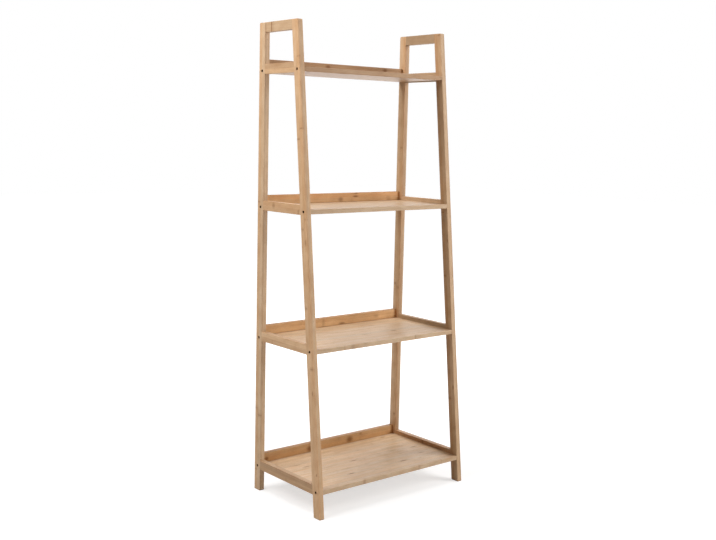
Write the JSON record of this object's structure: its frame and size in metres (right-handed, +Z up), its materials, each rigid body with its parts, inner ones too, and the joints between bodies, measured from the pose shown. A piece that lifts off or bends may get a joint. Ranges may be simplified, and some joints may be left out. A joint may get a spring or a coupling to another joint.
{
  "type": "bamboo shelving unit",
  "caption": "Free-standing open bamboo ladder shelf with upright rear legs, leaning front legs, bolted shelf panels with raised side and back rails, and hand loops at the top.",
  "frame": {"origin": "on the floor at the middle of the unit's footprint", "axes": "+X to the right across the width as seen from the front, +Y from the front to the back, +Z up"},
  "size_m": [0.6, 0.34, 1.47],
  "materials": {
    "frame_bamboo": "clear satin lacquer on laminated bamboo bars, grain along each bar, brown node marks",
    "panel_bamboo": "clear satin lacquer on a board of glued bamboo strips that run along the width",
    "back_rail_bamboo": "clear satin lacquer, warmer and darker bamboo with brown node marks",
    "dowel_beech": "raw beech",
    "bolt_dark_steel": "dark bronze oxide",
    "zinc_steel": "bright zinc plate"
  },
  "bodies": {
    "root": {"left_rear_leg": "frame_bamboo", "left_front_leg": "frame_bamboo", "left_handle_bar": "frame_bamboo", "left_rail_1": "frame_bamboo", "left_rail_2": "frame_bamboo", "left_rail_3": "frame_bamboo", "left_rail_4": "frame_bamboo", "left_frame_dowels": "dowel_beech", "left_bolts": "bolt_dark_steel", "right_rear_leg": "frame_bamboo", "right_front_leg": "frame_bamboo", "right_handle_bar": "frame_bamboo", "right_rail_1": "frame_bamboo", "right_rail_2": "frame_bamboo", "right_rail_3": "frame_bamboo", "right_rail_4": "frame_bamboo", "right_frame_dowels": "dowel_beech", "right_bolts": "bolt_dark_steel", "shelf_panel_1": "panel_bamboo", "shelf_panel_2": "panel_bamboo", "shelf_panel_3": "panel_bamboo", "shelf_panel_4": "panel_bamboo", "back_rail_1": "back_rail_bamboo", "back_rail_2": "back_rail_bamboo", "back_rail_3": "back_rail_bamboo", "back_rail_4": "back_rail_bamboo", "back_rail_screws": "zinc_steel", "barrel_nuts": "zinc_steel"}
  },
  "joints": []
}
